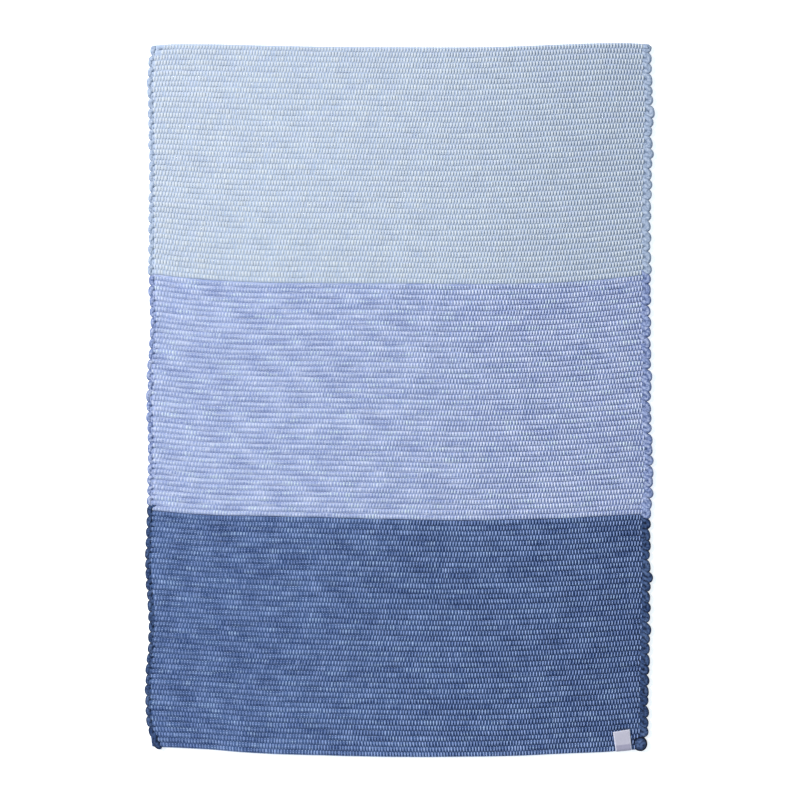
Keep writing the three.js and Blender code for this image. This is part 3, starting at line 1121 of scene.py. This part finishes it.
@dataclass
class SideTurns:
    """The weft where it turns back at the sides: a plump loop for every second row."""

    plan: WeavePlan
    band: Band
    first_row: BySide = BySide(0.0, -0.5)
    loops: BySide = BySide(67, 66)
    unevenness: float = 0.9 * MM
    radius: float = 3.5 * MM
    radius_up: float = 3.1 * MM
    half_apart: float = 0.58
    dark_apart: float = 0.04
    uneven_shape: BySide = BySide(0.06, 0.2)
    boxy: float = 0.78
    plump: BySide = BySide(1.12, 1.22)
    root_dip: BySide = BySide(2.3 * MM, 0.8 * MM)
    slant: BySide = BySide(0.35, 0.7)
    turn_share: float = 0.55
    turn_deep: BySide = BySide(2.7 * MM, 3.9 * MM)
    turn_square: BySide = BySide(0.55, 0.8)
    middle_x: float = 0.352
    path_x: float = 0.345
    root: float = -3.5 * MM
    centre_height: float = 3.85 * MM
    shingle: float = 0.85 * MM
    ply_pace: float = 260.0
    ply_depth: float = 0.06
    size_spread: float = 0.08
    rings: int = 17
    section: int = 12
    seed: int = 47

    def loop_pull(self, side: Side, loop: np.ndarray, middle_y: np.ndarray) -> np.ndarray:
        """How much each loop was pulled out or in, by an uneven hand or on its own.

        Args:
            side: left or right.
            loop: the loops' numbers from the pale end.
            middle_y: the Y of their middles.

        Returns:
            Metres outward.
        """
        waves = 0.6 * np.sin(2.4 * loop + side.value) + 0.4 * np.sin(-5.3 * loop + side.value)
        pull = self.unevenness * waves
        for odd_side, y, out in ODD_LOOPS:
            if odd_side is side:
                pull[np.argmin(np.abs(middle_y - y * MM))] += out * MM
        return pull

    def paths(self, side: Side) -> tuple[np.ndarray, np.ndarray]:
        """The middle line of each of a side's loops in this band.

        A loop comes out of the cloth along one row, turns back on a rounded square and goes in
        along the next row. It slants down the rug as it goes out, and dips where it enters the
        cloth. Its first leg lies higher than its last, over the loop before it. Some loops are
        broader and squarer than others, most of all at the right.

        Args:
            side: left or right.

        Returns:
            Points as loops by rings by 3, and the loops' numbers.
        """
        number = np.arange(self.loops[side])
        middle = self.first_row[side] + 2 * number + 1
        middle_y = self.plan.weave_y(np.full(len(number), side.value * self.middle_x), middle)
        pull = self.loop_pull(side, number, middle_y)
        here = (middle >= self.band.first) & (middle < self.band.first + self.band.rows)
        number, middle, pull = number[here], middle[here][:, None], pull[here][:, None]
        t = np.linspace(-1.0, 1.0, self.rings)[None, :]
        leg = np.clip((np.abs(t) - self.turn_share) / (1 - self.turn_share), 0.0, 1.0)
        angle = np.clip(t / self.turn_share, -1.0, 1.0) * np.pi / 2
        deep = self.turn_deep[side]
        bend_at = self.plan.loop_depth[side] + 0.7 * pull - self.radius * self.plump[side] - deep
        uneven = self.uneven_shape[side] * np.sin(4.1 * number + 2.0 * side.value)[:, None]
        squareness = self.turn_square[side] * (1 - uneven)
        turned = deep * np.maximum(np.cos(angle), 0.0) ** squareness
        outward = bend_at + turned - leg * (bend_at - self.root)
        apart = self.half_apart + (self.dark_apart if self.band is Band.DARK else 0.0)
        apart = apart * (1 + 0.8 * uneven) * np.sign(angle) * np.abs(np.sin(angle)) ** 0.9
        at_turn = np.clip(middle + apart, 0.5, ROWS - 0.5)
        at_root = np.clip(np.floor(middle - 0.01) + np.where(t > 0, 0.5, -0.5), 0.5, ROWS - 0.5)
        row = at_turn + (at_root - at_turn) * smooth_step(leg, 0.1, 1.0)
        slant = (self.slant[side] + 1.3 * uneven[::-1]) * np.clip(middle / 4, 0.0, 1.0)
        row = row + slant * np.clip(outward / self.plan.loop_depth[side], 0.0, 1.0)
        row = np.clip(row, 0.5, ROWS - 0.5)
        y = self.plan.weave_y(np.full(row.shape, side.value * self.path_x), row)
        x = side.value * (self.plan.groove(side, y) + outward) + self.plan.centre_x
        dip = self.root_dip[side] * smooth_step(leg, 0.0, 0.7)
        z = self.centre_height - self.shingle * np.tanh(2 * t) * (1 - 0.6 * leg) - dip + 0 * x
        return np.stack([x, y, z], axis=2), number

    def build(self) -> bpy.types.Object:
        """Carries an uneven, slightly boxy oval along every loop's middle line, as one piece.

        The section's size swells and shrinks with two plies that twist about the yarn, and it
        is wider at the turn.
        """
        draw = np.random.default_rng(self.seed + self.band.first)
        points, places, strands = [], [], 0
        turn, over = section_turn(self.section)
        round_section = (np.cos(turn), np.sin(turn))
        across, upward = (np.sign(part) * np.abs(part) ** self.boxy for part in round_section)
        for side in Side:
            middle, number = self.paths(side)
            steps = np.linalg.norm(np.diff(middle, axis=1), axis=2)
            along = np.pad(np.cumsum(steps, axis=1), ((0, 0), (1, 0)))[..., None]
            drawn = draw.random((2, len(number), 1, 1))
            ply = np.cos(2 * (turn - along * self.ply_pace) + 6.28 * drawn[0])
            size = (1 + self.ply_depth * ply) * (1 + self.size_spread * (drawn[1] - 0.5))
            t = np.linspace(-1.0, 1.0, self.rings)[None, :, None]
            width = self.radius * (1 + (self.plump[side] - 1) * smooth_step(np.abs(t), 0.95, 0.5))
            ring = carry_section(middle, size * width * across, size * self.radius_up * upward)
            points.append(ring.reshape(-1, 3))
            # The row's fraction is each point's height on the section, which sets the painted shade on
            # the loops' flanks and undersides.
            row = 200 * (side.value + 2) + number[:, None, None] + 0.95 * over
            place = np.broadcast_arrays(along, row, drawn[0])
            places.append(np.stack(place, axis=3).reshape(-1, 3))
            strands += len(number)
        faces = strand_faces(strands, self.rings, self.section)
        mesh = polygon_mesh(f"turns_{self.band.word}", np.concatenate(points), faces)
        weave_attribute(mesh, np.concatenate(places))
        return place_piece(mesh, [YARNS[self.band].turned()])


@dataclass
class YarnEnd:
    """A short loose length of weft at a corner: a closed tube with blunt ends."""

    name: str
    band: Band
    path: tuple
    radius: float
    flatten: float = 0.85
    rings: int = 15
    section: int = 12

    def build(self) -> bpy.types.Object:
        """Carries a round section along a smooth curve through the path's points.

        The radius stays nearly even and drops at both ends, and two plies twist about the yarn.
        """
        known = np.array(self.path) * MM
        places = np.linspace(0.0, 1.0, len(known))
        t = np.linspace(0.0, 1.0, self.rings)
        middle = np.stack([on_curve(t, places, known[:, k]) for k in range(3)], axis=1)
        turn, over = section_turn(self.section)
        even = np.maximum(1 - (2 * t - 1) ** 6, 0.06) ** 0.5
        size = self.radius * even[:, None] * (1 + 0.07 * np.cos(2 * turn - 9.0 * t[:, None]))
        ring = carry_section(middle, size * np.cos(turn), size * np.sin(turn) * self.flatten)
        faces = strand_faces(1, self.rings, self.section)
        mesh = polygon_mesh(self.name, ring.reshape(-1, 3), faces)
        # The second number's fraction is the height on the section, which sets the yarn's painted shade
        # underneath.
        place = np.broadcast_arrays(0.02 * t[:, None], 900 + 0.95 * over, 0.5)
        weave_attribute(mesh, np.stack(place, axis=2).reshape(-1, 3))
        return place_piece(mesh, [YARNS[self.band].turned()])


@dataclass
class CornerKnot:
    """The plump knot in which the weft ends at a corner: a flattened ball of wound yarn."""

    centre: tuple = (336.5 * MM, -481.4 * MM)
    half_width: float = 9.9 * MM
    half_length: float = 10.6 * MM
    half_height: float = 4.4 * MM
    height: float = 4.5 * MM
    winds: float = 2.6
    groove: float = 0.03
    rings: int = 30
    section: int = 48

    def build(self) -> bpy.types.Object:
        """A flattened ball, with a groove that winds outward from its top.

        The distance from the middle shrinks along a spiral, where the turn about the ball and
        the way down from its pole add up to a whole number of turns.
        """
        down = np.linspace(np.pi - 0.04, 0.04, self.rings)[:, None]
        turn = np.arange(self.section)[None, :] * 2 * np.pi / self.section
        winding = turn + self.winds * 2 * down
        size = 1 - self.groove * np.maximum(np.cos(winding), 0.0) ** 3 * np.sin(down)
        x = self.centre[0] + self.half_width * size * np.sin(down) * np.cos(turn)
        y = self.centre[1] + self.half_length * size * np.sin(down) * np.sin(turn)
        z = self.height + self.half_height * size * np.cos(down)
        points = np.stack([x, y, z], axis=2).reshape(-1, 3)
        mesh = polygon_mesh("corner_knot", points, strand_faces(1, self.rings, self.section))
        # Painted shade: the knot's lower part, where this height is small, takes the yarn's dark side
        # colour.
        over = 0.95 * np.clip(np.cos(down) + 0.1, 0.0, 1.0)
        place = np.broadcast_arrays(0.008 * winding, 950 + over, 0.5)
        weave_attribute(mesh, np.stack(place, axis=2).reshape(-1, 3))
        return place_piece(mesh, [YARNS[Band.DARK].turned()])


@dataclass
class LabelTape:
    """The blank woven label: a short tape on the ribs that turns down over the dark end."""

    inner_left: tuple = (297.9, -464.6)
    inner_right: tuple = (321.4, -460.6)
    outer_left: tuple = (302.1, -492.5)
    outer_right: tuple = (324.2, -490.3)
    half_width: float = 11.4 * MM
    rest_height: float = 7.95 * MM
    thickness: float = 0.7 * MM
    turn_start: float = 3.6 * MM
    turn_foot: float = 3.2 * MM
    low_end: float = 1.0 * MM
    # Where the painted shade of the turned-down end begins, measured from the inner end.
    painted_shade_from: float = 20.0 * MM
    fray: float = 0.35 * MM
    ripple: float = 0.12 * MM
    flat_lines: int = 32
    turn_lines: int = 12
    low_lines: int = 5
    across: int = 22

    def lie(self, length: float) -> tuple[np.ndarray, np.ndarray]:
        """How the tape's lines follow each other, from its inner end to its low end.

        Args:
            length: metres from the inner end to the fold over the rug's end.

        Returns:
            The share of that length, and the height in metres. The height follows a quarter of
            an ellipse over the last few millimetres, and then falls straight.
        """
        turned = np.linspace(0.0, np.pi / 2, self.turn_lines)
        start = 1 - self.turn_start / length
        share = np.concatenate(
            [
                np.linspace(0.0, start, self.flat_lines),
                start + (1 - start) * np.sin(turned[1:]),
                np.ones(self.low_lines),
            ]
        )
        fall = self.rest_height - self.turn_foot
        height = np.concatenate(
            [
                np.full(self.flat_lines, self.rest_height),
                self.turn_foot + fall * np.cos(turned[1:]),
                np.linspace(self.turn_foot, self.low_end, self.low_lines + 1)[1:],
            ]
        )
        return share, height

    def build(self) -> bpy.types.Object:
        """A thin closed strip, its section carried along the tape's lie.

        The strip's plan runs in straight lines between its four corners. The inner end is
        slightly frayed, and the tape ripples by a tenth of a millimetre.
        """
        inner, outer = [self.inner_left, self.inner_right], [self.outer_left, self.outer_right]
        corners = np.array([*inner, *outer]) * MM
        length = np.linalg.norm((corners[0] + corners[1] - corners[2] - corners[3]) / 2)
        share, height = self.lie(length)
        side = np.linspace(-1.0, 1.0, self.across)
        s, c = np.meshgrid(share, (side + 1) / 2, indexing="ij")
        s, c = s[..., None], c[..., None]
        inner = (1 - c) * corners[0] + c * corners[1]
        outer = (1 - c) * corners[2] + c * corners[3]
        plan = (1 - s) * inner + s * outer
        plan[0, :, 1] += self.fray * np.sin(27.0 * side) * np.sin(13.0 * side + 1)
        ripple = self.ripple * np.sin(5.0 * s + 3.0 * c) * smooth_step(s, 0.0, 0.3)
        middle = np.concatenate([plan, height[:, None, None] + ripple], axis=2)
        out = np.cross(np.gradient(middle, axis=0), np.gradient(middle, axis=1))
        out /= np.linalg.norm(out, axis=2, keepdims=True)
        half = self.thickness / 2 * (1 - 0.5 * np.abs(side) ** 8)[None, :, None]
        ring = np.concatenate([middle - out * half, (middle + out * half)[:, ::-1]], axis=1)
        faces = strand_faces(1, len(share), 2 * self.across)
        mesh = polygon_mesh("label_tape", ring.reshape(-1, 3), faces)
        steps = np.linalg.norm(np.diff(middle[:, self.across // 2], axis=0), axis=1)
        along = np.concatenate([[0.0], np.cumsum(steps)])
        across = np.concatenate([side, side[::-1]]) * self.half_width
        place = np.broadcast_arrays(along[:, None], across, 0.0)
        weave_attribute(mesh, np.stack(place, axis=2).reshape(-1, 3))
        finish = TapeFinish().material(self.half_width, self.painted_shade_from)
        piece = place_piece(mesh, [finish])
        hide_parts(LABEL_NODE)
        return piece


@dataclass
class Studio:
    """The pale floor, the soft light from the upper left and the camera straight above."""

    camera_height: float = 2.805
    lens: float = 90.0
    sensor: float = 36.0
    floor_size: float = 12.0
    key_place: tuple = (-4.3, 2.1, 3.6)
    key_size: float = 1.5
    key_power: float = 440.0
    sky: float = 0.5
    sky_colour: tuple = (0.80, 0.97, 1.10, 1.0)
    paper: tuple = (0.9, 0.9, 0.9, 1.0)
    paper_glow: float = 0.6

    def camera(self) -> None:
        """A camera that looks straight down, with the rug's pale end at the top."""
        data = bpy.data.cameras.new("camera")
        data.lens = self.lens
        data.sensor_width = self.sensor
        camera = bpy.data.objects.new("camera", data)
        camera.location = (0.0, 0.0, self.camera_height)
        bpy.context.scene.collection.objects.link(camera)
        bpy.context.scene.camera = camera

    def floor(self) -> None:
        """A plain white floor that the rug lies on."""
        half = self.floor_size / 2
        corners = [(-half, -half, 0), (half, -half, 0), (half, half, 0), (-half, half, 0)]
        mesh = bpy.data.meshes.new("floor")
        mesh.from_pydata(corners, [], [(0, 1, 2, 3)])
        floor = bpy.data.objects.new("floor", mesh)
        shader = Shader("floor_paper")
        shader.set("Base Color", self.paper)
        shader.set("Roughness", 0.9)
        shader.set("Emission Color", (1.0, 1.0, 1.0, 1.0))
        shader.set("Emission Strength", self.paper_glow)
        mesh.materials.append(shader.material)
        bpy.context.scene.collection.objects.link(floor)

    def light(self) -> None:
        """An even, faintly blue sky and one soft square lamp, aimed at the rug's middle."""
        world = bpy.data.worlds.new("studio")
        world.use_nodes = True
        sky = world.node_tree.nodes["Background"]
        sky.inputs["Color"].default_value = self.sky_colour
        sky.inputs["Strength"].default_value = self.sky
        bpy.context.scene.world = world
        data = bpy.data.lights.new("key", "AREA")
        data.shape = "SQUARE"
        data.size = self.key_size
        data.energy = self.key_power
        key = bpy.data.objects.new("key", data)
        key.location = self.key_place
        key.rotation_euler = (-Vector(self.key_place)).to_track_quat("-Z", "Y").to_euler()
        bpy.context.scene.collection.objects.link(key)

    def build(self) -> None:
        """Sets the studio up."""
        self.camera()
        self.floor()
        self.light()
        bpy.context.scene.view_settings.view_transform = "Standard"


# The middle lines of the two loose yarn ends at the left corners: X, Y and Z in millimetres
TAIL_PALE = ((-341.5, 489.4, 4.2), (-337.5, 491.4, 4.9), (-333.0, 493.2, 4.8), (-328.6, 494.8, 3.9))
TAIL_DARK = ((-344.4, -464.0, 3.9), (-343.0, -473.0, 4.5), (-340.0, -481.8, 4.6), (-334.4, -488.6, 4.2))


def build_rug(plan: WeavePlan) -> None:
    """The three bands with their warp and side turns, and the yarn ends and knot at their corners."""
    corners = {
        Band.PALE: [YarnEnd("tail_pale", Band.PALE, TAIL_PALE, 2.5 * MM)],
        Band.MID: [],
        Band.DARK: [YarnEnd("tail_dark", Band.DARK, TAIL_DARK, 4.7 * MM), CornerKnot()],
    }
    for band in Band:
        cloth = WeftBand(plan, band).build()
        with_cloth = [WarpFloats(plan, band).build(), SideTurns(plan, band).build()]
        with_cloth += [piece.build() for piece in corners[band]]


def main() -> None:
    """Builds the studio, the rug and its label, in order."""
    logging.basicConfig(level=logging.INFO, format="%(name)s: %(message)s")
    Studio().build()
    build_rug(WeavePlan())
    label = LabelTape().build()


if __name__ == "__main__":
    main()
